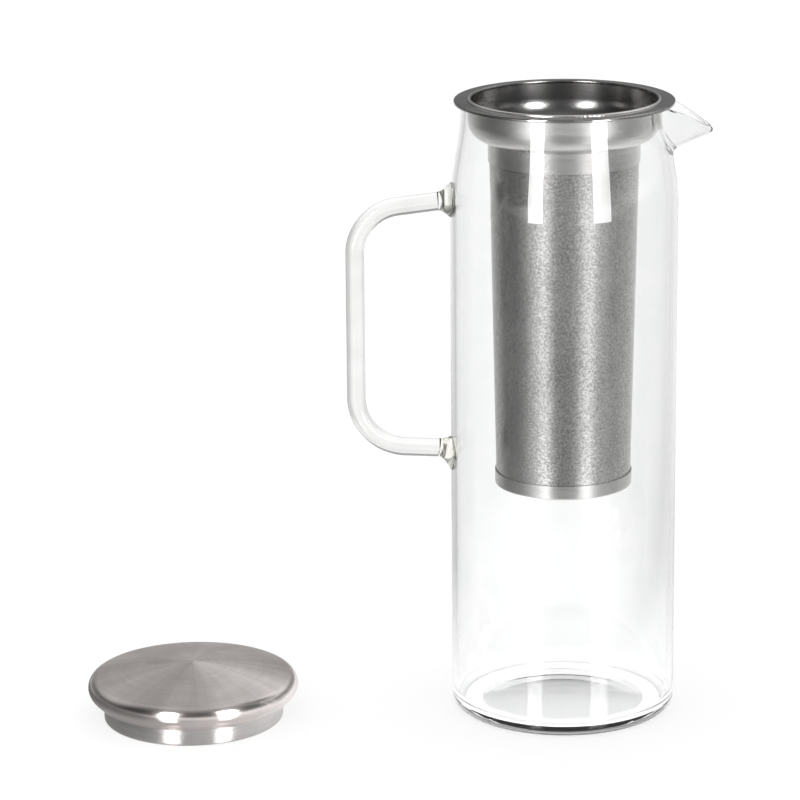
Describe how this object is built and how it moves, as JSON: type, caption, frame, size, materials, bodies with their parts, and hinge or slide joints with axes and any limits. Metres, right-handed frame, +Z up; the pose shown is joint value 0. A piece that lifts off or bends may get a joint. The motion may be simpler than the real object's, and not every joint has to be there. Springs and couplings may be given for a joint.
{
  "type": "cold brew coffee maker",
  "caption": "Tall glass carafe with a fused rod handle and pulled spout, a lift-out steel mesh filter hanging in its neck, and a domed steel lid beside it.",
  "frame": {"origin": "centre of the carafe's foot ring, on the surface it stands on", "axes": "+Z up along the carafe's axis, +X towards the spout, -X towards the handle"},
  "size_m": [0.2649, 0.0998, 0.2641],
  "materials": {
    "glass_body": "clear, smooth",
    "glass_handle": "clear solid rod",
    "glass_weld": "clear, slightly tinted where it is fused",
    "filter_rim": "polished",
    "filter_cup": "satin, polished rolled edge",
    "filter_band": "brushed",
    "filter_gauze": "fine woven wire",
    "lid_top": "radially brushed crown, polished edge",
    "lid_skirt": "satin"
  },
  "bodies": {
    "carafe": {"carafe_body": "glass_body", "handle_rod": "glass_handle", "handle_bead_upper": "glass_weld", "handle_bead_lower": "glass_weld"},
    "filter": {"filter_flange": "filter_rim", "filter_bowl": "filter_cup", "filter_collar": "filter_band", "filter_mesh": "filter_gauze", "filter_clamp_ring": "filter_band", "filter_seam_strip": "filter_band", "filter_base_cap": "filter_band"},
    "lid": {"lid_dome": "lid_top", "lid_skirt_pan": "lid_skirt"}
  },
  "joints": [
    {"name": "filter_lift", "type": "slide", "parent": "carafe", "child": "filter", "axis": [0, 0, 1], "range_m": [0, 0.2]},
    {"name": "lid_lift", "type": "slide", "parent": "carafe", "child": "lid", "axis": [0, 0, 1], "range_m": [0, 0.3]}
  ]
}
